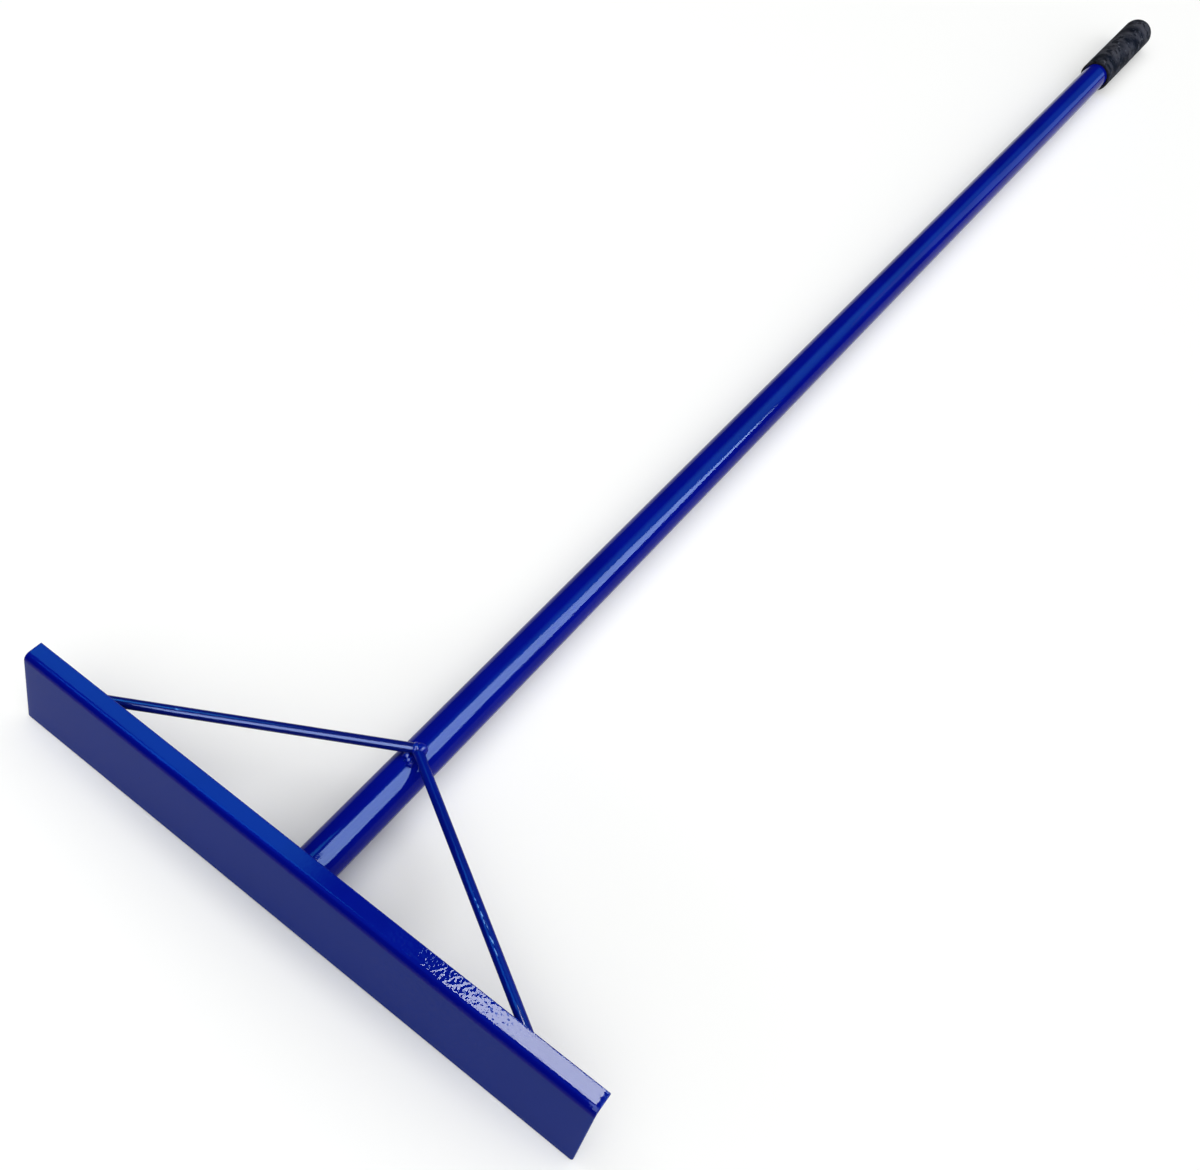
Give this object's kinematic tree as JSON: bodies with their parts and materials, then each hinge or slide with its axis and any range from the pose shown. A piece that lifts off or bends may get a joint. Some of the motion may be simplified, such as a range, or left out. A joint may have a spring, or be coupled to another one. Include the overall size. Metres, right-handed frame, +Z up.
{
  "type": "concrete spreader",
  "caption": "Long-handled tool for spreading wet concrete: a folded steel blade with a top flange, a welded tube handle, round-bar braces and a rubber hand grip.",
  "frame": {"origin": "at ground level, below the middle of the tool's bounding box, as it lies on the blade's lower edge and the grip", "axes": "+X along the blade, +Y along the handle from the blade to the grip, +Z up"},
  "size_m": [0.5, 1.6849, 0.0626],
  "materials": {
    "blue_paint": "gloss",
    "painted_weld": "gloss over rippled weld beads",
    "grip_rubber": "matte"
  },
  "bodies": {
    "root": {"blade": "blue_paint", "handle_tube": "blue_paint", "left_brace": "blue_paint", "right_brace": "blue_paint", "hand_grip": "grip_rubber", "handle_weld": "painted_weld", "left_foot_weld": "painted_weld", "right_foot_weld": "painted_weld", "seat_weld_front": "painted_weld", "seat_weld_rear": "painted_weld", "brace_tip_weld": "painted_weld"}
  },
  "joints": []
}
